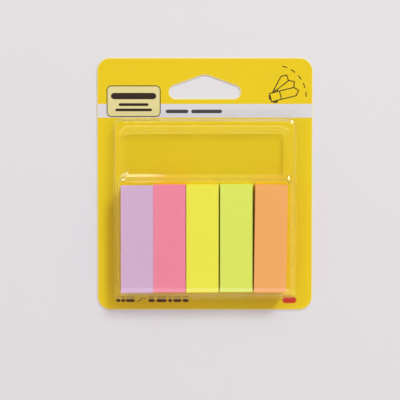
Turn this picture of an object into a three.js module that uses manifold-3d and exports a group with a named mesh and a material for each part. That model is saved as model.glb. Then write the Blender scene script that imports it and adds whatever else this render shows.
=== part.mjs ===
// Carded pack of sticky index tabs: a hang card, a clear formed blister and five pads of paper tabs.
// Millimetres. The card lies on its back at z = 0. X runs to the right, Y up the card and Z out of its front.
import * as THREE from 'three';
import Module from 'manifold-3d';
import { mergeVertices } from 'three/addons/utils/BufferGeometryUtils.js';

const wasm = await Module();
wasm.setup();

// Pads
const padWidth = 15;
const padLength = 50;
const sheetsPerPad = 100;
const sheetThickness = 0.1;
const padGaps = [0.1, 0.35, 0.75, 1.05];
const rowShift = -0.5;
const pads = [
  { name: 'pad_lilac', colour: 0xd3afcd, slip: -0.4, turn: 0 },
  { name: 'pad_pink', colour: 0xee899c, slip: 0, turn: 0 },
  { name: 'pad_yellow', colour: 0xebe54e, slip: 0, turn: 0 },
  { name: 'pad_green', colour: 0xdae864, slip: 0.2, turn: 0 },
  { name: 'pad_orange', colour: 0xf1ac6b, slip: 0, turn: -0.75 },
];

// Room around the pads, measured at the level of their top sheets
const sideClearance = 1.45;
const footClearance = 0.8;
const headClearance = 2.1;
const frontClearance = 0.8;

// Blister film and its slopes, in degrees from upright
const filmThickness = 0.3;
const trayDraft = 15.6;
const rimDraft = 12;
const recessDraft = 25;

// Blister forms, with heights above the card's front
const flangeWidth = 4.3;
const flangeCorner = 3;
const rimHeight = 6.5;
const rimSideFlat = 2.06;
const rimHeadFlat = 2.77;
const recessFloorLength = 19.2;
const recessFloorGap = 0.3;
const footCorner = 3.4;
const frontCorner = 2.2;
const recessCorner = 1.8;
const edgeRound = 1;

// Card
const cardThickness = 0.5;
const cardCorner = 6.3;
const cardSideMargin = 3.3;
const cardFootMargin = 1.1;

// Hang slot, a low triangle with round ends
const slotWidth = 33.3;
const slotHeight = 10.9;
const slotLobeRadius = 3.1;
const slotPeakRadius = 6;
const slotToBlister = 5;
const slotToCardEdge = 8.3;

// Smoothness
const cornerSteps = 6;
const edgeSteps = 3;
const cardCurveSteps = 12;
const toolReach = 1;

const run = (height, draft) => height * Math.tan(THREE.MathUtils.degToRad(draft));

// Sizes that follow from the pads, from the inside out
const padThickness = sheetsPerPad * sheetThickness;
const rowLength = pads.length * padWidth + padGaps.reduce((sum, gap) => sum + gap, 0);
const wallAtPads = filmThickness + run(padThickness, trayDraft);
const footHalfWidth = rowLength / 2 + sideClearance + wallAtPads;
const trayFootLength = padLength + footClearance + headClearance + 2 * wallAtPads;
const trayHeight = padThickness + frontClearance + filmThickness;
const recessFloorHeight = recessFloorGap + filmThickness;
const recessDepth = rimHeight - recessFloorHeight;
const rimRun = run(rimHeight, rimDraft);
const recessRun = run(recessDepth, recessDraft);
const recessHalfWidth = footHalfWidth - rimRun - rimSideFlat - recessRun;
const recessLength = recessFloorLength - run(recessFloorHeight, trayDraft);
const blisterLength = trayFootLength + recessLength + recessRun + rimHeadFlat + rimRun;
const headerHeight = slotToBlister + slotHeight + slotToCardEdge;
const cardWidth = 2 * (footHalfWidth + flangeWidth + cardSideMargin);
const cardHeight = cardFootMargin + 2 * flangeWidth + blisterLength + headerHeight;

// Places along Y, with the card's centre at 0
const cardTop = cardHeight / 2;
const blisterFoot = -cardTop + cardFootMargin + flangeWidth;
const blisterHead = blisterFoot + blisterLength;
const trayHead = blisterFoot + trayFootLength;
const recessHead = trayHead + recessLength;
const padFoot = blisterFoot + wallAtPads + footClearance;
const slotFoot = cardTop - slotToCardEdge - slotHeight;

// One level of a form: a rectangle with round corners at a height
function level(x0, x1, y0, y1, corner, z) {
  return { x0, x1, y0, y1, corner, z };
}

// The same rectangle moved outwards by a distance, or inwards if it is negative
function grown(form, by, z = form.z) {
  const corner = Math.max(form.corner + by, 0.2);
  return level(form.x0 - by, form.x1 + by, form.y0 - by, form.y1 + by, corner, z);
}

// The rectangle between two levels of a sloping wall
function between(low, high, z) {
  const share = (z - low.z) / (high.z - low.z);
  const mix = (key) => low[key] + (high[key] - low[key]) * share;
  return level(mix('x0'), mix('x1'), mix('y0'), mix('y1'), mix('corner'), z);
}

function outline({ x0, x1, y0, y1, corner }) {
  const [left, right, foot, head] = [x0 + corner, x1 - corner, y0 + corner, y1 - corner];
  const centres = [[right, head], [left, head], [left, foot], [right, foot]];
  return centres.flatMap(([x, y], quarter) => Array.from({ length: cornerSteps + 1 }, (_, step) => {
    const angle = (quarter + step / cornerSteps) * Math.PI / 2;
    return [x + corner * Math.cos(angle), y + corner * Math.sin(angle)];
  }));
}

// A closed solid through a list of levels, from the lowest to the highest
function loft(levels) {
  const rings = levels.map((form) => outline(form).map(([x, y]) => [x, y, form.z]));
  const count = rings[0].length;
  const triangles = [];
  rings.slice(1).forEach((_, ring) => {
    const low = ring * count;
    const high = low + count;
    for (let i = 0; i < count; i += 1) {
      const next = (i + 1) % count;
      triangles.push(low + i, low + next, high + next, low + i, high + next, high + i);
    }
  });
  const top = (rings.length - 1) * count;
  for (let i = 1; i < count - 1; i += 1) {
    triangles.push(0, i + 1, i, top, top + i, top + i + 1);
  }
  const geometry = new THREE.BufferGeometry();
  geometry.setAttribute('position', new THREE.Float32BufferAttribute(rings.flat(2), 3));
  geometry.setIndex(triangles);
  return solid(geometry);
}

function solid(geometry) {
  geometry.deleteAttribute('normal');
  geometry.deleteAttribute('uv');
  const merged = mergeVertices(geometry);
  const vertProperties = new Float32Array(merged.attributes.position.array);
  const triVerts = new Uint32Array(merged.index.array);
  return new wasm.Manifold(new wasm.Mesh({ numProp: 3, vertProperties, triVerts }));
}

function geometryOf(manifold) {
  const mesh = manifold.getMesh();
  const geometry = new THREE.BufferGeometry();
  geometry.setAttribute('position', new THREE.BufferAttribute(mesh.vertProperties, 3));
  geometry.setIndex(new THREE.BufferAttribute(mesh.triVerts, 1));
  geometry.computeVertexNormals();
  return geometry;
}

// Steps of a quarter round: how far in and how far along, as shares of its radius
const quarterRound = Array.from({ length: edgeSteps + 1 }, (_, step) => {
  const angle = step / edgeSteps * Math.PI / 2;
  return { across: 1 - Math.cos(angle), along: Math.sin(angle) };
});

// A raised form with sloping walls and a rounded front edge.
// skin is 0 for its outside and the film's thickness for its inside.
function raisedForm(foot, front, skin) {
  const low = grown(foot, -skin);
  const high = grown(front, -skin, front.z - skin);
  const round = edgeRound - skin;
  const crown = quarterRound.map(({ across, along }) => {
    const z = high.z - round + round * along;
    return grown(between(low, high, z), -round * across);
  });
  const opening = skin > 0 ? [grown(low, 0, low.z - toolReach)] : [];
  return loft([...opening, low, ...crown]);
}

// A pocket sunk into a raised form, with a rounded floor edge and a rounded mouth
function sunkForm(floor, mouth, skin) {
  const low = grown(floor, skin, floor.z - skin);
  const high = grown(mouth, skin, mouth.z - skin);
  const floorRound = edgeRound + skin;
  const mouthRound = edgeRound - skin;
  const base = [...quarterRound].reverse().map(({ across, along }) => {
    const z = low.z + floorRound * (1 - along);
    return grown(between(low, high, z), -floorRound * across);
  });
  const lip = quarterRound.map(({ across, along }) => {
    const z = high.z - mouthRound + mouthRound * along;
    return grown(between(low, high, z), mouthRound * across);
  });
  const last = lip[lip.length - 1];
  return loft([...base, ...lip, grown(last, 0, last.z + toolReach)]);
}

// The rim and its recess start inside the tray, at its middle, so that the tray's head wall closes them
function blister() {
  const w = footHalfWidth;
  const rimFoot = (blisterFoot + trayHead) / 2;
  const trayRun = run(trayHeight, trayDraft);
  const flange = grown(level(-w, w, blisterFoot, blisterHead, flangeCorner, 0), flangeWidth);
  const tray = [
    level(-w, w, blisterFoot, trayHead, footCorner, 0),
    level(-w + trayRun, w - trayRun, blisterFoot + trayRun, trayHead - trayRun, frontCorner, trayHeight),
  ];
  const rim = [
    level(-w, w, rimFoot, blisterHead, footCorner, 0),
    level(-w + rimRun, w - rimRun, rimFoot + rimRun, blisterHead - rimRun, frontCorner, rimHeight),
  ];
  const h = recessHalfWidth;
  const recess = [
    level(-h, h, rimFoot, recessHead, recessCorner, recessFloorHeight),
    level(-h - recessRun, h + recessRun, rimFoot, recessHead + recessRun, recessCorner, rimHeight),
  ];
  const outside = raisedForm(...rim, 0).subtract(sunkForm(...recess, 0)).add(raisedForm(...tray, 0));
  const inside = raisedForm(...rim, filmThickness).subtract(sunkForm(...recess, filmThickness))
    .add(raisedForm(...tray, filmThickness));
  const sheet = loft([flange, grown(flange, 0, filmThickness)]);
  return geometryOf(sheet.add(outside).subtract(inside));
}

// The hang slot's outline runs round its right end, its peak and its left end
function slotPath() {
  const lobeX = slotWidth / 2 - slotLobeRadius;
  const lobeY = slotFoot + slotLobeRadius;
  const peakY = slotFoot + slotHeight - slotPeakRadius;
  const distance = Math.hypot(lobeX, peakY - lobeY);
  const heading = Math.atan2(peakY - lobeY, -lobeX);
  const tangent = heading - Math.acos((slotLobeRadius - slotPeakRadius) / distance);
  const path = new THREE.Path();
  path.absarc(lobeX, lobeY, slotLobeRadius, -Math.PI / 2, tangent, false);
  path.absarc(0, peakY, slotPeakRadius, tangent, Math.PI - tangent, false);
  path.absarc(-lobeX, lobeY, slotLobeRadius, Math.PI - tangent, 3 * Math.PI / 2, false);
  path.closePath();
  return path;
}

function card() {
  const [w, h, r] = [cardWidth / 2, cardHeight / 2, cardCorner];
  const shape = new THREE.Shape();
  shape.absarc(w - r, h - r, r, 0, Math.PI / 2, false);
  shape.absarc(-w + r, h - r, r, Math.PI / 2, Math.PI, false);
  shape.absarc(-w + r, -h + r, r, Math.PI, 3 * Math.PI / 2, false);
  shape.absarc(w - r, -h + r, r, 3 * Math.PI / 2, 2 * Math.PI, false);
  shape.closePath();
  shape.holes.push(slotPath());
  const options = { depth: cardThickness, bevelEnabled: false, curveSegments: cardCurveSteps };
  return new THREE.ExtrudeGeometry(shape, options);
}

function piece(name, geometry, material) {
  const mesh = new THREE.Mesh(geometry, new THREE.MeshStandardMaterial({ metalness: 0, ...material }));
  mesh.name = name;
  return mesh;
}

const pack = new THREE.Group();
pack.name = 'index_tabs';
pack.add(piece('backing_card', card(), { color: 0xe9cc20, roughness: 0.45 }));

const clearFilm = { color: 0xf2f5f6, roughness: 0.08, transparent: true, opacity: 0.25 };
const shell = piece('blister', blister(), clearFilm);
shell.position.z = cardThickness;
pack.add(shell);

let padLeft = rowShift - rowLength / 2;
pads.forEach(({ name, colour, slip, turn }, place) => {
  const block = new THREE.BoxGeometry(padWidth, padLength, padThickness);
  const pad = piece(name, block, { color: colour, roughness: 0.85 });
  const x = padLeft + padWidth / 2;
  const y = padFoot + padLength / 2 + slip;
  pad.position.set(x, y, cardThickness + padThickness / 2);
  pad.rotation.z = THREE.MathUtils.degToRad(turn);
  pack.add(pad);
  padLeft += padWidth + (padGaps[place] ?? 0);
});

export default pack;
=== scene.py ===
"""A carded pack of sticky index tabs: a printed hang card, a clear formed blister and five paper pads.

Metres. The card lies on its back at z = 0. X runs to the right, Y up the card and Z out of its front.
"""

import math

import bmesh
import bpy
import numpy as np
from mathutils import Matrix, Vector, noise
from mathutils.geometry import delaunay_2d_cdt


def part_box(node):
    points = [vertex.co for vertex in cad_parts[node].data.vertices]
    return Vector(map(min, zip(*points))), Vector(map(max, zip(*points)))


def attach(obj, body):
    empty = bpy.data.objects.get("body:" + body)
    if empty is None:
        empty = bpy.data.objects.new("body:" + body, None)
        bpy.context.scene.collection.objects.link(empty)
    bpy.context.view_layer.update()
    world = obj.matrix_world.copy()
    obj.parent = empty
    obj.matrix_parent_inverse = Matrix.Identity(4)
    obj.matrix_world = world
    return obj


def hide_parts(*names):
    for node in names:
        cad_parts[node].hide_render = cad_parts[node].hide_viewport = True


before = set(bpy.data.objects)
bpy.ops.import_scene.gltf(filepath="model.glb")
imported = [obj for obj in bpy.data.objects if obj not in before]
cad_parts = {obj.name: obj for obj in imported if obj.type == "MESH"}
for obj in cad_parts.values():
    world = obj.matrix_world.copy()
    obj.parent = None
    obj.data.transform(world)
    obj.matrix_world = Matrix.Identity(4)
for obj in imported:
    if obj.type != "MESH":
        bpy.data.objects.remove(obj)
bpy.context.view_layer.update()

MM = 0.001

# Places that come from the frame
card_low, card_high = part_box("backing_card")
film_low, film_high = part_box("blister")
CARD_FRONT = card_high.z

# Card
CARD_CORNER = 6.3 * MM
CARD_CORNER_STEPS = 20
CARD_EDGE_WIDTH = 0.42 * MM
CARD_EDGE_DEPTH = 0.22 * MM
CARD_EDGE_MIDDLE = 0.3
SLOT_WIDTH = 33.3 * MM
SLOT_HEIGHT = 10.9 * MM
SLOT_LOBE_RADIUS = 3.1 * MM
SLOT_PEAK_RADIUS = 6 * MM
SLOT_LOBE_STEPS = 24
SLOT_PEAK_STEPS = 16
SLOT_TO_CARD_EDGE = 8.3 * MM

# Pale band across the card, and its two grey bars: start and end in millimetres
BAND_FOOT = 31.3 * MM
BAND_HEAD = 37.7 * MM
BAND_PAST_CARD = 5 * MM
BAND_BARS = ((-17.6, -8.6), (-5.6, 7.2))
BAND_BARS_Y = 34.2 * MM
BAND_BAR = 1.7 * MM

# Label: left, right, foot and head, then its bars' half length, Y and thickness in millimetres
LABEL = (-46.2 * MM, -20.8 * MM, 31.6 * MM, 46.4 * MM)
LABEL_CORNER = 2.2 * MM
LABEL_LINE = 0.42 * MM
LABEL_BARS = ((9.2, 41.4, 3.0), (6.4, 37.4, 1.3), (8.0, 34.9, 1.3))

# Line drawing: one tab's outline in millimetres from the pivot, the leans in degrees, and the dashes
DRAWN_LINE = 0.48 * MM
DRAWN_PIVOT = (33.0 * MM, 41.2 * MM)
DRAWN_TAB = ((-2.2, -2.0), (9.6, -2.0), (11.4, 0), (9.6, 2.0), (-2.2, 2.0))
DRAWN_FOLD = ((2.6, -2.0), (2.6, 2.0))
DRAWN_LEANS = (62, 38, 14)
DASH_RADIUS = 14.6 * MM
DASH_TURNS = (76, 59, 42, 25, 8)
DASH_PARTS = (0, 0.07, 0.14)

# Foot of the card: brown bars and a slanted line in millimetres, and a red mark
FOOT_BARS = (
    (-41.2, -40.6),
    (-38.8, -38.4),
    (-36.6, -33.8),
    (-26.0, -24.4),
    (-22.2, -18.8),
    (-16.6, -16.2),
    (-14.2, -11.8),
    (-9.8, -8.4),
)
FOOT_BARS_Y = -55.0 * MM
FOOT_BAR = 1.5 * MM
FOOT_SLIP = ((-31.9, -0.6), (-29.6, 0.9), (-27.9, 0.9))
FOOT_SLIP_LINE = 0.35 * MM
RED_MARK = ((38.0 * MM, -54.8 * MM), (41.8 * MM, -54.8 * MM))
RED_MARK_WIDTH = 2.9 * MM

# Film and flange
FILM = 0.16 * MM
FILM_SINK = 0.02 * MM
FLANGE_TOP = FILM - FILM_SINK
FLANGE_WIDTH = 4.3 * MM
FLANGE_CORNER = 7.3 * MM
FLANGE_CORNER_STEPS = 5

# Tray, rim and recess: what rises from the flange
FORM_HALF = film_high.x - FLANGE_WIDTH
FORM_FOOT = film_low.y + FLANGE_WIDTH
FORM_HEAD = film_high.y - FLANGE_WIDTH
TRAY_HEIGHT = 11.1 * MM
TRAY_DRAFT = math.radians(15.6)
TRAY_HEAD = FORM_FOOT + 59.08 * MM
RIM_HEIGHT = 6.5 * MM
RIM_DRAFT = math.radians(12)
RIM_SIDE_FLAT = 2.06 * MM
RIM_HEAD_FLAT = 2.77 * MM
RECESS_FLOOR = 0.6 * MM
RECESS_DRAFT = math.radians(25)
RECESS_CORNER = 1.8 * MM
FOOT_CORNER = 3.4 * MM
FRONT_CORNER = 2.2 * MM
EDGE_ROUND = 1.4 * MM
TRAY_ROUND = 1.7 * MM
FOOT_END_ROUND = 4.2 * MM
FOOT_END_BLEND = 5 * MM
FOOT_END_SHIFT = 0.4
FILLET = 0.6 * MM
HEAD_FILLET = 0.8 * MM
HEAD_WALL_RUN = 1.5 * MM
STEP_REACH = 2.0 * MM
STEP_SLOPE = math.tan(math.radians(30))
STEP_FILLET = 0.3 * MM
WAVE_HEIGHT = 0.05 * MM
WAVE_LENGTH = 24 * MM
WAVE_SEED = 0.3
WAVE_START = 1.5 * MM
WAVE_RISE = 4 * MM
FILM_SHARP_EDGE = math.radians(50)

# Small creases that forming leaves in the corners: place, length and width in millimetres, turn in
# degrees, then slopes
CREASES = (
    (40.6, 29.4, 1.4, 1.0, -42, -0.22, -0.40),
    (39.3, 3.1, 2.3, 0.9, 84, -0.22, -0.42),
    (-38.6, 4.2, 1.9, 0.8, 38, -0.29, -0.42),
    (-36.5, 5.5, 1.3, 0.7, 62, -0.29, -0.42),
    (-38.0, 2.3, 2.0, 0.7, 3, -0.29, -0.42),
)
CREASE_FADE = 2.5

# Grid that the film is formed on, close together where it bends
GRID_MARGIN = 1.0 * MM
GRID_FINE = 0.16 * MM
GRID_COARSE = 2.0 * MM
SIDE_ZONE = 8.4 * MM
FOOT_ZONE = 6 * MM
STEP_ZONE_FOOT = 5.4 * MM
STEP_ZONE_HEAD = 1.6 * MM
HEAD_ZONE = 9.6 * MM
GRID_NEAR = 1e-9
GRID_COUNT_NEAR = 1e-6

# Pads
PAD_WIDTH = 15 * MM
PAD_LENGTH = 50 * MM
SHEETS = 100
SHEET_FILL = 0.86
SHEET_SLIP = 0.045 * MM
SHEET_TURN = math.radians(0.04)
TURN_SEED_SHIFT = 50
PADS = {
    "pad_lilac": {"colour": (220, 183, 221), "turn": 0, "seed": 3},
    "pad_pink": {"colour": (249, 142, 169), "turn": 0, "seed": 5},
    "pad_yellow": {"colour": (247, 242, 79), "turn": 0, "seed": 7},
    "pad_green": {"colour": (229, 242, 103), "turn": 0, "seed": 11},
    "pad_orange": {"colour": (252, 178, 106), "turn": -0.75, "seed": 13},
}

# Colours as they show on screen, 0 to 255
INKS = {
    "yellow_ink": (238, 204, 12),
    "white_ink": (222, 218, 222),
    "cream_ink": (231, 217, 152),
    "dark_ink": (46, 34, 20),
    "grey_ink": (70, 66, 72),
    "brown_ink": (92, 58, 24),
    "red_ink": (214, 52, 34),
}
BOARD_CORE = (238, 226, 178)
BOARD_BACK = (222, 219, 211)
FLOOR = (228, 224, 227)

# Paper and film surfaces: noise scales for each metre, and bump heights
DRIFT_SCALE = 70.0
FIBRE_SCALE = 5200.0
FIBRE_STRETCH = (1.0, 0.22, 1.0)
FIBRE_TURN = (0, 0, 0.4)
TOOTH_SCALE = 3600.0
TOOTH_HEIGHT = 0.02 * MM
RIPPLE_SCALE = 130.0
SMALL_RIPPLE_SCALE = 900.0
SMALL_RIPPLE_SHARE = 0.12
RIPPLE_HEIGHT = 0.25 * MM
FILM_RIPPLE_STRENGTH = 0.12

# Shadow light that the film passes when seen flat on, and what it loses towards its edge
FILM_PASSES = 0.998
FILM_EDGE_LOSS = 0.9
FILM_EDGE_POWER = 5.0

# Lamps: place and size in metres, share of the plain light level, and colour
LAMPS = {
    "key": ((1.20, 1.90, 1.80), (0.66, 0.66), 0.325, (0.89, 1.09, 1.12)),
    "window": ((-0.075, 0.976, 0.658), (0.05, 0.42), 0.018, (1, 1, 1)),
    "room": ((0.10, 0.976, 0.658), (0.25, 0.42), 0.0083, (1, 1, 1)),
}

# World: the fill, and what the film mirrors, which is a horizon that fades upwards and a bright table
FILL = 0.64
FILL_COLOUR = (1.055, 0.95, 0.935, 1)
HORIZON = 1.5
ZENITH = 0.06
MIRRORED_COLOUR = (1.0, 0.84, 0.34, 1)
TABLE_GLOW = 2.8
TABLE_COLOUR = (0.62, 0.60, 1.0, 1)
TABLE_Y = (-0.19, -0.26)
TABLE_Z = (0.35, 0.75)

# Floor
FLOOR_REACH = 3.0
FLOOR_DROP = 0.05 * MM

# Camera: its place and aim in millimetres, then its sensor and lens
EYE = (-2.3, 21.8, 699)
AIM = (-2.3, -7.5, 0)
SENSOR = 36
LENS = 133.5

# Meshes: how near two points are one, in millimetres for flat print and in metres for a whole mesh
FLAT_NEAR = 1e-5
MESH_NEAR = 0.001 * MM


def linear(colour):
    """A colour as it shows on screen, in Blender's linear numbers."""
    shares = [value / 255 for value in colour]
    return tuple(s / 12.92 if s <= 0.04045 else ((s + 0.055) / 1.055) ** 2.4 for s in shares) + (1.0,)


def place(tree, kind, sockets=None, **settings):
    """A node with its settings and inputs. An input is a value or another node's output."""
    node = tree.nodes.new(kind)
    for key, value in settings.items():
        setattr(node, key, value)
    for key, value in (sockets or {}).items():
        if isinstance(value, bpy.types.NodeSocket):
            tree.links.new(value, node.inputs[key])
        else:
            node.inputs[key].default_value = value
    return node


def calculate(tree, operation, *values):
    """The output of a Math node."""
    return place(tree, "ShaderNodeMath", dict(enumerate(values)), operation=operation).outputs[0]


def open_group(name, kind, inputs, outputs):
    """An empty node group with named sockets, its given inputs and the outputs to be made."""
    tree = bpy.data.node_groups.new(name, kind)
    for label, socket_kind, value in inputs:
        socket = tree.interface.new_socket(label, in_out="INPUT", socket_type=socket_kind)
        if value is not None:
            socket.default_value = value
    for label, socket_kind in outputs:
        tree.interface.new_socket(label, in_out="OUTPUT", socket_type=socket_kind)
    return tree, tree.nodes.new("NodeGroupInput").outputs, tree.nodes.new("NodeGroupOutput").inputs


def paper_group():
    """Colour drift, fibres and a faint tooth, for paper, board and printed board."""
    tree, given, made = open_group(
        "paper_surface",
        "ShaderNodeTree",
        [
            ("Place", "NodeSocketVector", None),
            ("Colour", "NodeSocketColor", (1, 1, 1, 1)),
            ("Drift", "NodeSocketFloat", 0.03),
            ("Fibre", "NodeSocketFloat", 0.03),
            ("Tooth", "NodeSocketFloat", 0.2),
            ("Roughness", "NodeSocketFloat", 0.8),
        ],
        [
            ("Colour", "NodeSocketColor"),
            ("Roughness", "NodeSocketFloat"),
            ("Normal", "NodeSocketVector"),
        ],
    )
    drift = place(
        tree, "ShaderNodeTexNoise", {"Vector": given["Place"], "Scale": DRIFT_SCALE, "Detail": 3.0}
    )
    stretched = place(
        tree,
        "ShaderNodeMapping",
        {"Vector": given["Place"], "Scale": FIBRE_STRETCH, "Rotation": FIBRE_TURN},
    )
    fibre = place(
        tree,
        "ShaderNodeTexNoise",
        {"Vector": stretched.outputs[0], "Scale": FIBRE_SCALE, "Detail": 4.0, "Distortion": 0.6},
    )
    tooth = place(
        tree, "ShaderNodeTexNoise", {"Vector": given["Place"], "Scale": TOOTH_SCALE, "Detail": 2.0}
    )

    def swing(source, amount):
        """A noise centred on zero, times an amount."""
        return calculate(tree, "MULTIPLY", calculate(tree, "SUBTRACT", source, 0.5), amount)

    drift_swing = swing(drift.outputs["Fac"], given["Drift"])
    fibre_swing = swing(fibre.outputs["Fac"], given["Fibre"])
    both = calculate(tree, "ADD", drift_swing, fibre_swing)
    value = calculate(tree, "ADD", both, 1.0)
    shaded = place(tree, "ShaderNodeHueSaturation", {"Color": given["Colour"], "Value": value})
    bump = place(
        tree,
        "ShaderNodeBump",
        {"Strength": given["Tooth"], "Distance": TOOTH_HEIGHT, "Height": tooth.outputs["Fac"]},
    )
    tree.links.new(shaded.outputs[0], made["Colour"])
    tree.links.new(calculate(tree, "ADD", given["Roughness"], both), made["Roughness"])
    tree.links.new(bump.outputs[0], made["Normal"])
    return tree


def ripple_group():
    """The slight unevenness of film that was drawn over a mould."""
    tree, given, made = open_group(
        "film_ripple",
        "ShaderNodeTree",
        [("Place", "NodeSocketVector", None), ("Strength", "NodeSocketFloat", 0.1)],
        [("Normal", "NodeSocketVector")],
    )
    broad = place(
        tree, "ShaderNodeTexNoise", {"Vector": given["Place"], "Scale": RIPPLE_SCALE, "Detail": 2.0}
    )
    fine = place(
        tree,
        "ShaderNodeTexNoise",
        {"Vector": given["Place"], "Scale": SMALL_RIPPLE_SCALE, "Detail": 1.0},
    )
    height = calculate(
        tree, "MULTIPLY_ADD", fine.outputs["Fac"], SMALL_RIPPLE_SHARE, broad.outputs["Fac"]
    )
    bump = place(
        tree,
        "ShaderNodeBump",
        {"Strength": given["Strength"], "Distance": RIPPLE_HEIGHT, "Height": height},
    )
    tree.links.new(bump.outputs[0], made["Normal"])
    return tree


PAPER_SURFACE = paper_group()
FILM_RIPPLE = ripple_group()


def new_material(name):
    """An empty material, its tree and the Object coordinates of what it is on."""
    material = bpy.data.materials.new(name)
    material.use_nodes = True
    tree = material.node_tree
    tree.nodes.clear()
    return material, tree, place(tree, "ShaderNodeTexCoord").outputs["Object"]


def finish_material(tree, shader):
    """Puts a shader on the material's surface."""
    place(tree, "ShaderNodeOutputMaterial", {"Surface": shader.outputs[0]})


def paper_material(name, colour, roughness, drift, fibre, tooth, coat=0.0):
    """Paper, board or print of one colour, with a varnish where coat is above 0."""
    material, tree, coords = new_material(name)
    surface = place(
        tree,
        "ShaderNodeGroup",
        {
            "Place": coords,
            "Colour": linear(colour),
            "Drift": drift,
            "Fibre": fibre,
            "Tooth": tooth,
            "Roughness": roughness,
        },
        node_tree=PAPER_SURFACE,
    )
    shader = place(
        tree,
        "ShaderNodeBsdfPrincipled",
        {
            "Base Color": surface.outputs["Colour"],
            "Roughness": surface.outputs["Roughness"],
            "Normal": surface.outputs["Normal"],
            "Specular IOR Level": 0.3,
            "Coat Weight": coat,
            "Coat Roughness": 0.25,
        },
    )
    finish_material(tree, shader)
    return material


def film_material():
    """Clear film, with a yellow sheen that is a painted reflection of the yellow card on its walls and
    edges. Lamps and soft light go straight through it to what is behind.
    """
    material, tree, coords = new_material("clear_film")
    ripple = place(
        tree,
        "ShaderNodeGroup",
        {"Place": coords, "Strength": FILM_RIPPLE_STRENGTH},
        node_tree=FILM_RIPPLE,
    )
    glass = place(
        tree,
        "ShaderNodeBsdfPrincipled",
        {
            "Base Color": (1.0, 0.985, 0.95, 1),
            "Roughness": 0.04,
            "IOR": 1.31,
            "Transmission Weight": 1.0,
            # Painted reflection: the sheen, tinted yellow, lightens the steep walls and round edges as
            # if they mirrored the yellow card
            "Sheen Weight": 0.8,
            "Sheen Roughness": 0.35,
            "Sheen Tint": (1.0, 0.84, 0.2, 1),
            "Normal": ripple.outputs["Normal"],
        },
    )
    edge_on = place(tree, "ShaderNodeLayerWeight", {"Blend": 0.5})
    steep = calculate(tree, "POWER", edge_on.outputs["Facing"], FILM_EDGE_POWER)
    passed = calculate(tree, "MULTIPLY_ADD", steep, -FILM_EDGE_LOSS, FILM_PASSES)
    through = place(tree, "ShaderNodeBsdfTransparent", {"Color": passed})
    path = place(tree, "ShaderNodeLightPath")
    passes = calculate(tree, "MAXIMUM", path.outputs["Is Shadow Ray"], path.outputs["Is Diffuse Ray"])
    mix = place(
        tree, "ShaderNodeMixShader", {0: passes, 1: glass.outputs[0], 2: through.outputs[0]}
    )
    finish_material(tree, mix)
    return material


def add_object(name, data):
    """A new object in the scene, at the origin."""
    added = bpy.data.objects.new(name, data)
    bpy.context.scene.collection.objects.link(added)
    return added


def new_piece(name, mesh, materials, node):
    """A finished piece of the object that stands for a CAD node."""
    piece = add_object(name, mesh)
    for material in materials:
        if material.name not in mesh.materials:
            mesh.materials.append(material)
    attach(piece, "root")
    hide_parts(node)
    return piece


def baked(piece):
    """The mesh of an object with its modifiers applied. The object is removed."""
    bpy.context.view_layer.update()
    evaluated = piece.evaluated_get(bpy.context.evaluated_depsgraph_get())
    mesh = bpy.data.meshes.new_from_object(evaluated)
    bpy.data.objects.remove(piece)
    return mesh


def merge_doubles(mesh, distance):
    """Joins points that lie closer than a distance."""
    work = bmesh.new()
    work.from_mesh(mesh)
    bmesh.ops.remove_doubles(work, verts=work.verts, dist=distance)
    work.to_mesh(mesh)
    work.free()


# Outlines in the plane of the card, each a list of points that runs anticlockwise


def arc(x, y, radius, start, stop, steps):
    """Points on an arc about a centre."""
    angles = [start + (stop - start) * step / steps for step in range(steps + 1)]
    return [(x + radius * math.cos(a), y + radius * math.sin(a)) for a in angles]


def round_box(left, right, foot, head, corner, steps=6):
    """A rectangle with round corners, from its upper right one."""
    centres = [(right, head), (left, head), (left, foot), (right, foot)]
    inward = [(-1, -1), (1, -1), (1, 1), (-1, 1)]
    points = []
    for quarter, ((x, y), (dx, dy)) in enumerate(zip(centres, inward)):
        start = quarter * math.pi / 2
        points += arc(x + dx * corner, y + dy * corner, corner, start, start + math.pi / 2, steps)
    return points


def bar(start, stop, width, steps=5):
    """A straight stroke with round ends."""
    (x0, y0), (x1, y1) = start, stop
    heading = math.atan2(y1 - y0, x1 - x0)
    quarter = math.pi / 2
    far = arc(x1, y1, width / 2, heading - quarter, heading + quarter, steps)
    near = arc(x0, y0, width / 2, heading + quarter, heading + 3 * quarter, steps)
    return far + near


def line(ink, points, width):
    """A drawn line through points, as one field of ink for each stretch."""
    return [(ink, bar(a, b, width)) for a, b in zip(points, points[1:])]


def slot_outline(grow):
    """The hang slot: a low triangle with round ends, moved outwards by grow."""
    lobe_x = SLOT_WIDTH / 2 - SLOT_LOBE_RADIUS
    foot = card_high.y - SLOT_TO_CARD_EDGE - SLOT_HEIGHT
    lobe_y = foot + SLOT_LOBE_RADIUS
    peak_y = foot + SLOT_HEIGHT - SLOT_PEAK_RADIUS
    distance = math.hypot(lobe_x, peak_y - lobe_y)
    heading = math.atan2(peak_y - lobe_y, -lobe_x)
    tangent = heading - math.acos((SLOT_LOBE_RADIUS - SLOT_PEAK_RADIUS) / distance)
    lobe = SLOT_LOBE_RADIUS + grow
    right = arc(lobe_x, lobe_y, lobe, -math.pi / 2, tangent, SLOT_LOBE_STEPS)
    peak = arc(0, peak_y, SLOT_PEAK_RADIUS + grow, tangent, math.pi - tangent, SLOT_PEAK_STEPS)
    left = arc(-lobe_x, lobe_y, lobe, math.pi - tangent, 3 * math.pi / 2, SLOT_LOBE_STEPS)
    return right + peak + left


def card_outline(shrink):
    """The card's edge, moved inwards by shrink, with points where the pale band meets it."""
    left, right = card_low.x + shrink, card_high.x - shrink
    foot, head = card_low.y + shrink, card_high.y - shrink
    points = round_box(left, right, foot, head, CARD_CORNER - shrink, CARD_CORNER_STEPS)
    upper = 2 * (CARD_CORNER_STEPS + 1)
    down_left = [(left, BAND_HEAD), (left, BAND_FOOT)]
    up_right = [(right, BAND_FOOT), (right, BAND_HEAD)]
    return points[:upper] + down_left + points[upper:] + up_right


# Print on the card, as fields of plain ink. A later field covers an earlier one.


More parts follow.
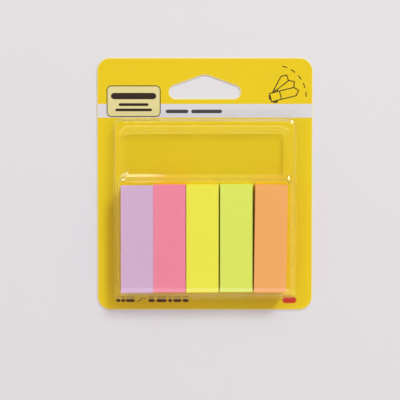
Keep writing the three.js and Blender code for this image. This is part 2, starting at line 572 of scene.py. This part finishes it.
def band_fields():
    """The pale band across the card, with two grey bars."""
    reach = card_high.x + BAND_PAST_CARD
    band = [(-reach, BAND_FOOT), (reach, BAND_FOOT), (reach, BAND_HEAD), (-reach, BAND_HEAD)]
    fields = [("white_ink", band)]
    for start, stop in BAND_BARS:
        ends = ((start * MM, BAND_BARS_Y), (stop * MM, BAND_BARS_Y))
        fields.append(("grey_ink", bar(*ends, BAND_BAR)))
    return fields


def label_fields():
    """A pale label with a dark edge and three dark bars."""
    left, right, foot, head = LABEL
    edge = LABEL_LINE
    outer = round_box(left, right, foot, head, LABEL_CORNER)
    inner = round_box(left + edge, right - edge, foot + edge, head - edge, LABEL_CORNER - edge)
    fields = [("dark_ink", outer), ("cream_ink", inner)]
    middle = (left + right) / 2
    for half, y, height in LABEL_BARS:
        ends = ((middle - half * MM, y * MM), (middle + half * MM, y * MM))
        fields.append(("dark_ink", bar(*ends, height * MM)))
    return fields


def drawing_fields():
    """A line drawing of three tabs in a fan, under an arc of short dashes."""
    fields = []
    pivot = Vector(DRAWN_PIVOT)
    for lean in DRAWN_LEANS:
        turn = Matrix.Rotation(math.radians(lean), 2)
        corners, fold = (
            [tuple(pivot + turn @ Vector((x * MM, y * MM))) for x, y in points]
            for points in (DRAWN_TAB, DRAWN_FOLD)
        )
        fields.append(("yellow_ink", corners))
        fields += line("dark_ink", corners + corners[:1], DRAWN_LINE)
        fields += line("dark_ink", fold, DRAWN_LINE)
    for degrees in DASH_TURNS:
        angles = [math.radians(degrees) - part for part in DASH_PARTS]
        dash = [
            (pivot.x + DASH_RADIUS * math.cos(angle), pivot.y + DASH_RADIUS * math.sin(angle))
            for angle in angles
        ]
        fields += line("dark_ink", dash, DRAWN_LINE)
    return fields


def foot_fields():
    """A row of brown bars along the foot, a thin slanted line among them, and a plain red mark."""
    y = FOOT_BARS_Y
    fields = []
    for start, stop in FOOT_BARS:
        fields.append(("brown_ink", bar((start * MM, y), (stop * MM, y), FOOT_BAR)))
    slip = [(x * MM, y + rise * MM) for x, rise in FOOT_SLIP]
    fields += line("brown_ink", slip, FOOT_SLIP_LINE)
    fields.append(("red_ink", bar(*RED_MARK, RED_MARK_WIDTH)))
    return fields


def card_materials():
    """The inks on varnished board, the bare board of the cut edge and the card's back, by name."""
    made = {}
    for name, colour in INKS.items():
        made[name] = paper_material(
            name, colour, roughness=0.42, drift=0.05, fibre=0.03, tooth=0.1, coat=0.12
        )
    made["board_core"] = paper_material(
        "board_core", BOARD_CORE, roughness=0.85, drift=0.04, fibre=0.2, tooth=0.6
    )
    made["board_back"] = paper_material(
        "board_back", BOARD_BACK, roughness=0.8, drift=0.05, fibre=0.1, tooth=0.4
    )
    return made


def filled(points, loops):
    """Fills loops of flat points, and gives back Blender's lists of points, faces and owners."""
    flat, _, faces, origins, _, owners = delaunay_2d_cdt(points, [], loops, 1, FLAT_NEAR, True)
    return flat, faces, origins, owners


def hang_card():
    """The card: a printed front, a rounded cut edge, the cut walls and a plain back."""
    materials = card_materials()
    names = list(materials)
    fields = [("yellow_ink", card_outline(CARD_EDGE_WIDTH)), ("hole", slot_outline(CARD_EDGE_WIDTH))]
    fields += band_fields() + label_fields() + drawing_fields() + foot_fields()
    points, loops = [], []
    for _, outline in fields:
        loops.append(list(range(len(points), len(points) + len(outline))))
        points += [Vector(point) / MM for point in outline]
    flat, faces, _, owners = filled(points, loops)
    vertices = [(p.x * MM, p.y * MM, CARD_FRONT) for p in flat]
    polygons, slots = [], []
    for face, owner in zip(faces, owners):
        if 0 in owner and 1 not in owner:
            polygons.append(face)
            slots.append(names.index(fields[max(owner)][0]))

    def ring(outline, z):
        """Adds an outline's points at a height, and gives back their numbers."""
        start = len(vertices)
        vertices.extend((x, y, z) for x, y in outline)
        return list(range(start, len(vertices)))

    def wall(low, high, inward):
        """Adds the faces between two rings, as bare board."""
        count = len(low)
        for i in range(count):
            j = (i + 1) % count
            quad = [low[i], low[j], high[j], high[i]]
            polygons.append(quad[::-1] if inward else quad)
            slots.append(names.index("board_core"))

    foot_rings = []
    part = CARD_EDGE_MIDDLE
    for outline in (card_outline, slot_outline):
        inward = outline is slot_outline
        shoulder = ring(outline(0), CARD_FRONT - CARD_EDGE_DEPTH)
        top = ring(outline(CARD_EDGE_WIDTH), CARD_FRONT)
        middle = ring(outline(CARD_EDGE_WIDTH * part), CARD_FRONT - CARD_EDGE_DEPTH * part)
        foot = ring(outline(0), card_low.z)
        wall(middle, top, inward)
        wall(shoulder, middle, inward)
        wall(foot, shoulder, inward)
        foot_rings.append(foot)
    back = foot_rings[0] + foot_rings[1]
    around = len(foot_rings[0])
    back_points = [Vector(vertices[i][:2]) / MM for i in back]
    back_loops = [list(range(around)), list(range(around, len(back)))]
    _, faces, origins, owners = filled(back_points, back_loops)
    for face, owner in zip(faces, owners):
        if owner == [0]:
            polygons.append([back[origins[i][0]] for i in reversed(face)])
            slots.append(names.index("board_back"))
    used = sorted({i for polygon in polygons for i in polygon})
    number = {old: new for new, old in enumerate(used)}
    mesh = bpy.data.meshes.new("hang_card")
    mesh.from_pydata([vertices[i] for i in used], [], [[number[i] for i in face] for face in polygons])
    for name in names:
        mesh.materials.append(materials[name])
    mesh.polygons.foreach_set("material_index", slots)
    merge_doubles(mesh, MESH_NEAR)
    new_piece("hang_card", mesh, [], "backing_card")


# Blister


def inset_in(x, y, box, corner_low, corner_high, reach):
    """How far inside a sloping wall's foot outline each point lies.

    The outline is a rectangle whose corner radius goes from corner_low at its foot to corner_high
    at reach.
    """
    left, right, foot, head = box
    across = np.minimum(x - left, right - x)
    along = np.minimum(y - foot, head - y)
    shrink = (corner_low - corner_high) / reach
    rest = 1 - shrink
    a, b = corner_low - across, corner_low - along
    square = 2 * rest**2 - shrink**2
    linear_term = 2 * rest * (a + b) + 2 * shrink * corner_low
    plain = a**2 + b**2 - corner_low**2
    root = np.sqrt(np.maximum(linear_term**2 - 4 * square * plain, 0))
    round_part = (-linear_term + root) / (2 * square)
    in_corner = (a + rest * round_part > 0) & (b + rest * round_part > 0)
    return np.where(in_corner, round_part, np.minimum(across, along))


def rounded_wall(inset, height, draft, edge_round, foot_round):
    """Height of a wall above the flange, with a round foot and a round front edge.

    The inset and the height are measured from the card's front, which the film's own thickness covers.
    """
    lean = math.pi / 2 - draft
    height = height - FLANGE_TOP
    inset = inset - FLANGE_TOP * math.tan(draft)
    corner = height * math.tan(draft)
    edge_run = edge_round * math.tan(lean / 2)
    foot_run = foot_round * math.tan(lean / 2)
    z = np.clip(inset / math.tan(draft), 0, height)
    at_edge = (inset > corner - edge_run * math.cos(lean)) & (inset < corner + edge_run)
    edge_fall = np.sqrt(np.maximum(edge_round**2 - (inset - corner - edge_run) ** 2, 0))
    z = np.where(at_edge, height - edge_round + edge_fall, z)
    at_foot = (inset > -foot_run) & (inset < foot_run * math.cos(lean))
    foot_rise = foot_round - np.sqrt(np.maximum(foot_round**2 - (inset + foot_run) ** 2, 0))
    return np.where(at_foot, foot_rise, z)


def smooth_step(share):
    """A share that starts and ends gently, from 0 to 1."""
    share = np.clip(share, 0, 1)
    return share * share * (3 - 2 * share)


def higher(a, b, blend):
    """The higher of two heights, with a small fillet where they meet above the flange."""
    near = np.maximum(blend - np.abs(a - b), 0) / blend
    risen = np.clip(np.minimum(a, b) / blend, 0, 1)
    return np.maximum(a, b) + risen * near * near * blend / 4


def tray_height(x, y):
    """Height of the deep tray. Its head wall is steeper, and its foot end has a rounder front edge."""
    run = TRAY_HEIGHT * math.tan(TRAY_DRAFT)
    wall_top = TRAY_HEAD - run
    steeper = wall_top + (y - wall_top) * run / HEAD_WALL_RUN
    wall_y = np.where(y > wall_top, steeper, y)
    box = (-FORM_HALF, FORM_HALF, FORM_FOOT, TRAY_HEAD)
    inset = inset_in(x, wall_y, box, FOOT_CORNER, FRONT_CORNER, run)
    sharp = rounded_wall(inset, TRAY_HEIGHT, TRAY_DRAFT, TRAY_ROUND, FILLET)
    soft = rounded_wall(inset, TRAY_HEIGHT, TRAY_DRAFT, FOOT_END_ROUND, FILLET)
    side = np.minimum(x + FORM_HALF, FORM_HALF - x)
    at_foot_end = smooth_step((side - (y - FORM_FOOT)) / FOOT_END_BLEND + FOOT_END_SHIFT)
    return sharp + (soft - sharp) * at_foot_end


def rim_height(x, y):
    """Height of the rim's outer walls and of its front, as if the recess were filled."""
    run = RIM_HEIGHT * math.tan(RIM_DRAFT)
    middle = (FORM_FOOT + TRAY_HEAD) / 2
    box = (-FORM_HALF, FORM_HALF, middle, FORM_HEAD)
    inset = inset_in(x, y, box, FOOT_CORNER, FRONT_CORNER, run)
    return rounded_wall(inset, RIM_HEIGHT, RIM_DRAFT, EDGE_ROUND, FILLET)


def recess_height(x, y):
    """Height of the recess: its floor, its walls and the step up to the tray."""
    depth = RIM_HEIGHT - RECESS_FLOOR
    rim_run = RIM_HEIGHT * math.tan(RIM_DRAFT)
    wall_run = depth * math.tan(RECESS_DRAFT)
    floor_half = FORM_HALF - rim_run - RIM_SIDE_FLAT - wall_run
    floor_head = FORM_HEAD - rim_run - RIM_HEAD_FLAT - wall_run
    beyond_x = np.abs(x) - floor_half + RECESS_CORNER
    beyond_y = y - floor_head + RECESS_CORNER
    corner = np.hypot(np.maximum(beyond_x, 0), np.maximum(beyond_y, 0))
    outside = corner + np.minimum(np.maximum(beyond_x, beyond_y), 0) - RECESS_CORNER
    walls = RECESS_FLOOR + rounded_wall(outside, depth, RECESS_DRAFT, EDGE_ROUND, FILLET)
    step = np.clip(TRAY_HEAD - y, 0, STEP_REACH) * STEP_SLOPE
    return higher(walls, RECESS_FLOOR + step, STEP_FILLET)


def creased(x, y, z):
    """The heights with each crease let in, as a narrow flat that fades into what is round it."""
    for crease_x, crease_y, length, width, turn, slope_x, slope_y in CREASES:
        off_x, off_y = x - crease_x * MM, y - crease_y * MM
        cos, sin = math.cos(math.radians(turn)), math.sin(math.radians(turn))
        along, aside = off_x * cos + off_y * sin, off_y * cos - off_x * sin
        distance = np.hypot(along / length, aside / width) / MM
        middle = z.flat[np.argmin(distance)]
        share = smooth_step(CREASE_FADE - CREASE_FADE * distance)
        z = z + (middle + off_x * slope_x + off_y * slope_y - z) * share
    return z


def blister_height(x, y):
    """Height of the film's outer face above the flange's, from the tray, the rim and the recess."""
    sunk_rim = np.minimum(rim_height(x, y), recess_height(x, y))
    return creased(x, y, higher(sunk_rim, tray_height(x, y), HEAD_FILLET))


def wave(x, y, z):
    """The forming's slight unevenness, from nothing low on the walls to its full height above them."""
    lift = np.array([
        [noise.noise(Vector((px / WAVE_LENGTH, py / WAVE_LENGTH, WAVE_SEED))) for px in x] for py in y
    ])
    return lift * WAVE_HEIGHT * smooth_step((z - WAVE_START) / WAVE_RISE)


def spaced(start, stop, fine_zones):
    """Grid lines from start to stop, close together in the fine zones."""
    marks = [start]
    while marks[-1] < stop:
        here = marks[-1]
        zone = [z for z in fine_zones if z[0] <= here + GRID_NEAR < z[1]]
        ahead = [z[0] for z in fine_zones if z[0] > here + GRID_NEAR]
        limit = zone[0][1] if zone else min(ahead + [stop])
        step = GRID_FINE if zone else GRID_COARSE
        count = max(1, math.ceil((limit - here) / step - GRID_COUNT_NEAR))
        marks += [here + (limit - here) * (i + 1) / count for i in range(count)]
    return np.array(marks)


def formed_blister():
    """The film: a formed sheet with its flange, given its thickness."""
    left, right = -FORM_HALF - GRID_MARGIN, FORM_HALF + GRID_MARGIN
    foot, head = FORM_FOOT - GRID_MARGIN, FORM_HEAD + GRID_MARGIN
    sides = [(left, -FORM_HALF + SIDE_ZONE), (FORM_HALF - SIDE_ZONE, right)]
    bends = [
        (foot, FORM_FOOT + FOOT_ZONE),
        (TRAY_HEAD - STEP_ZONE_FOOT, TRAY_HEAD + STEP_ZONE_HEAD),
        (FORM_HEAD - HEAD_ZONE, head),
    ]
    x, y = spaced(left, right, sides), spaced(foot, head, bends)
    grid_x, grid_y = np.meshgrid(x, y)
    z = blister_height(grid_x, grid_y)
    z = z + wave(x, y, z)
    base = CARD_FRONT + FLANGE_TOP
    rows, columns = z.shape
    vertices = [
        (grid_x[r, c], grid_y[r, c], base + z[r, c]) for r in range(rows) for c in range(columns)
    ]
    faces = [
        (r * columns + c, r * columns + c + 1, (r + 1) * columns + c + 1, (r + 1) * columns + c)
        for r in range(rows - 1)
        for c in range(columns - 1)
    ]
    faces += flange_faces(vertices, rows, columns, base)
    mesh = bpy.data.meshes.new("formed_blister")
    mesh.from_pydata(vertices, [], faces)
    sheet = add_object("film_sheet", mesh)
    wall = sheet.modifiers.new("film", "SOLIDIFY")
    wall.thickness = FILM
    wall.offset = -1
    shell = baked(sheet)
    shell.name = "formed_blister"
    shell.shade_smooth()
    shell.set_sharp_from_angle(angle=FILM_SHARP_EDGE)
    new_piece("formed_blister", shell, [film_material()], "blister")


def flange_faces(vertices, rows, columns, base):
    """Faces from the grid's edge to the flange's round-cornered outline.

    The points of the outline are added to vertices.
    """
    corner = FLANGE_CORNER
    centre_x = film_high.x - corner
    centre_high = film_high.y - corner
    centre_low = film_low.y + corner

    def out_of_side(px, py, across):
        """Straight out from a point on the grid's edge, across the side or along it."""
        if across:
            bend = max(centre_low - py, py - centre_high, 0)
            reach = centre_x + math.sqrt(corner**2 - bend**2)
            return (math.copysign(reach, px), py)
        bend = max(abs(px) - centre_x, 0)
        rise = math.sqrt(corner**2 - bend**2)
        return (px, centre_high + rise if py > 0 else centre_low - rise)

    sides = [
        ([c for c in range(columns)], False),
        ([r * columns + columns - 1 for r in range(rows)], True),
        ([(rows - 1) * columns + c for c in reversed(range(columns))], False),
        ([r * columns for r in reversed(range(rows))], True),
    ]
    inner, outer = [], []
    for number, (indices, across) in enumerate(sides):
        for index in indices:
            inner.append(index)
            outer.append(out_of_side(*vertices[index][:2], across))
        here = outer[-1]
        following, next_across = sides[(number + 1) % 4]
        there = out_of_side(*vertices[following[0]][:2], next_across)
        cx = math.copysign(centre_x, here[0])
        cy = centre_high if here[1] > 0 else centre_low
        start = math.atan2(here[1] - cy, here[0] - cx)
        stop = math.atan2(there[1] - cy, there[0] - cx)
        sweep = (stop - start) % (2 * math.pi)
        for step in range(1, FLANGE_CORNER_STEPS):
            angle = start + sweep * step / FLANGE_CORNER_STEPS
            inner.append(indices[-1])
            outer.append((cx + corner * math.cos(angle), cy + corner * math.sin(angle)))
    first = len(vertices)
    vertices.extend((px, py, base) for px, py in outer)
    faces = []
    count = len(inner)
    for i in range(count):
        j = (i + 1) % count
        if inner[i] == inner[j]:
            faces.append((inner[i], first + i, first + j))
        else:
            faces.append((inner[i], first + i, first + j, inner[j]))
    return faces


# Pads


def sheet_stack_tree():
    """A stack of thin sheets on a line of points, each a hair out of place."""
    tree, given, made = open_group(
        "sheet_stack",
        "GeometryNodeTree",
        [
            ("Geometry", "NodeSocketGeometry", None),
            ("Width", "NodeSocketFloat", PAD_WIDTH),
            ("Length", "NodeSocketFloat", PAD_LENGTH),
            ("Sheet", "NodeSocketFloat", 0.1 * MM),
            ("Fill", "NodeSocketFloat", SHEET_FILL),
            ("Count", "NodeSocketInt", SHEETS),
            ("Slip", "NodeSocketFloat", SHEET_SLIP),
            ("Turn", "NodeSocketFloat", SHEET_TURN),
            ("Seed", "NodeSocketInt", 1),
            ("Paper", "NodeSocketMaterial", None),
        ],
        [("Geometry", "NodeSocketGeometry")],
    )
    step = place(tree, "ShaderNodeCombineXYZ", {"Z": given["Sheet"]}).outputs[0]
    start = place(tree, "ShaderNodeVectorMath", {0: step, "Scale": 0.5}, operation="SCALE").outputs[0]
    points = place(
        tree,
        "GeometryNodeMeshLine",
        {"Count": given["Count"], "Start Location": start, "Offset": step},
    )
    thin = calculate(tree, "MULTIPLY", given["Sheet"], given["Fill"])
    size = place(tree, "ShaderNodeCombineXYZ", {"X": given["Width"], "Y": given["Length"], "Z": thin})
    sheet = place(
        tree,
        "GeometryNodeMeshCube",
        {"Size": size.outputs[0], "Vertices X": 2, "Vertices Y": 2, "Vertices Z": 2},
    )

    def jitter(amount, axes, shift):
        """A random vector for each sheet, up to an amount along the axes."""
        reach = place(tree, "ShaderNodeCombineXYZ", {axis: amount for axis in axes}).outputs[0]
        least = place(tree, "ShaderNodeVectorMath", {0: reach, "Scale": -1.0}, operation="SCALE")
        seed = calculate(tree, "ADD", given["Seed"], float(shift))
        return place(
            tree,
            "FunctionNodeRandomValue",
            {"Min": least.outputs[0], "Max": reach, "Seed": seed},
            data_type="FLOAT_VECTOR",
        ).outputs[0]

    moved = place(
        tree,
        "GeometryNodeSetPosition",
        {"Geometry": points.outputs[0], "Offset": jitter(given["Slip"], "XY", 0)},
    )
    stacked = place(
        tree,
        "GeometryNodeInstanceOnPoints",
        {
            "Points": moved.outputs[0],
            "Instance": sheet.outputs[0],
            "Rotation": jitter(given["Turn"], "Z", TURN_SEED_SHIFT),
        },
    )
    real = place(tree, "GeometryNodeRealizeInstances", {"Geometry": stacked.outputs[0]})
    covered = place(
        tree, "GeometryNodeSetMaterial", {"Geometry": real.outputs[0], "Material": given["Paper"]}
    )
    tree.links.new(covered.outputs[0], made["Geometry"])
    return tree


def set_inputs(modifier, values):
    """Sets a Geometry Nodes modifier's inputs by their sockets' identifiers."""
    for item in modifier.node_group.interface.items_tree:
        if item.item_type == "SOCKET" and item.in_out == "INPUT" and item.name in values:
            modifier[item.identifier] = values[item.name]


def paper_pads():
    """The five pads, each a stack of sheets where the frame has its node."""
    tree = sheet_stack_tree()
    for node, facts in PADS.items():
        colour = node.split("_")[1]
        low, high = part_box(node)
        paper = paper_material(
            f"{colour}_paper", facts["colour"], roughness=0.82, drift=0.035, fibre=0.05, tooth=0.35
        )
        base = add_object(f"stack_{colour}", bpy.data.meshes.new(f"stack_{colour}"))
        stack = base.modifiers.new("sheets", "NODES")
        stack.node_group = tree
        thickness = (high.z - low.z) / SHEETS
        set_inputs(stack, {"Sheet": thickness, "Seed": facts["seed"], "Paper": paper})
        mesh = baked(base)
        middle = Vector(((low.x + high.x) / 2, (low.y + high.y) / 2, low.z))
        turn = Matrix.Rotation(math.radians(facts["turn"]), 4, "Z")
        mesh.transform(Matrix.Translation(middle) @ turn)
        new_piece(f"tabs_{colour}", mesh, [paper], node)


# Stage, light and camera


def stage():
    """A plain pale floor just under the card."""
    reach = FLOOR_REACH
    corners = [(-reach, -reach, 0), (reach, -reach, 0), (reach, reach, 0), (-reach, reach, 0)]
    mesh = bpy.data.meshes.new("floor")
    mesh.from_pydata(corners, [], [(0, 1, 2, 3)])
    paper = paper_material("floor_paper", FLOOR, roughness=0.9, drift=0.01, fibre=0.0, tooth=0.0)
    mesh.materials.append(paper)
    floor = add_object("floor", mesh)
    floor.location.z = -FLOOR_DROP


def lights():
    """A soft key from the upper right and two upright strips beyond the head.

    Each lamp is aimed at the card's middle, and its power follows from its share of the light there.
    """
    for name, (spot, size, share, colour) in LAMPS.items():
        position = Vector(spot)
        data = bpy.data.lights.new(name, "AREA")
        data.shape = "RECTANGLE"
        data.size, data.size_y = size
        data.energy = share * math.pi**2 * position.length**3 / position.z
        data.color = colour
        light = add_object(name, data)
        light.location = position
        light.rotation_euler = (-position).to_track_quat("-Z", "Y").to_euler()


def surroundings():
    """The world: a fill from all sides, a warm horizon and a bright table for the film to mirror."""
    world = bpy.data.worlds.new("studio")
    bpy.context.scene.world = world
    world.use_nodes = True
    tree = world.node_tree
    tree.nodes.clear()

    def background(colour, strength):
        """Light of one colour."""
        return place(tree, "ShaderNodeBackground", {"Color": colour, "Strength": strength}).outputs[0]

    def ramp(value, start, stop, low, high):
        """A number that goes from low to high as a value goes from start to stop."""
        ends = {"From Min": start, "From Max": stop, "To Min": low, "To Max": high}
        return place(tree, "ShaderNodeMapRange", {"Value": value, **ends}).outputs[0]

    def mixed(share, first, second):
        """The first light, with a share of the second in its place."""
        return place(tree, "ShaderNodeMixShader", {0: share, 1: first, 2: second}).outputs[0]

    direction = place(tree, "ShaderNodeTexCoord").outputs["Generated"]
    parts = place(tree, "ShaderNodeSeparateXYZ", {0: direction})
    square = calculate(tree, "POWER", parts.outputs["Z"], 2.0)
    horizon = background(MIRRORED_COLOUR, ramp(square, 0.0, 1.0, HORIZON, ZENITH))
    front = ramp(parts.outputs["Y"], *TABLE_Y, 0.0, TABLE_GLOW)
    above = ramp(parts.outputs["Z"], *TABLE_Z, 0.0, 1.0)
    table = background(TABLE_COLOUR, calculate(tree, "MULTIPLY", front, above))
    mirrored = place(tree, "ShaderNodeAddShader", {0: horizon, 1: table}).outputs[0]
    path = place(tree, "ShaderNodeLightPath")
    clear = path.outputs["Is Transmission Ray"]
    sharp = calculate(tree, "MAXIMUM", path.outputs["Is Glossy Ray"], clear)
    lit = mixed(sharp, background(FILL_COLOUR, FILL), mirrored)
    seen = mixed(path.outputs["Is Camera Ray"], lit, background(linear(FLOOR), 1.0))
    place(tree, "ShaderNodeOutputWorld", {"Surface": seen})


def camera():
    """A camera almost straight over the card, leaning a little towards its head."""
    data = bpy.data.cameras.new("camera")
    data.sensor_width = SENSOR
    data.lens = LENS
    view = add_object("camera", data)
    eye = Vector(EYE) * MM
    back = (eye - Vector(AIM) * MM).normalized()
    across = Vector((1, 0, 0))
    turn = Matrix((across, back.cross(across), back)).transposed()
    view.matrix_world = Matrix.Translation(eye) @ turn.to_4x4()
    bpy.context.scene.camera = view


bpy.context.scene.view_settings.view_transform = "Standard"
camera()
lights()
surroundings()
stage()
hang_card()
formed_blister()
paper_pads()
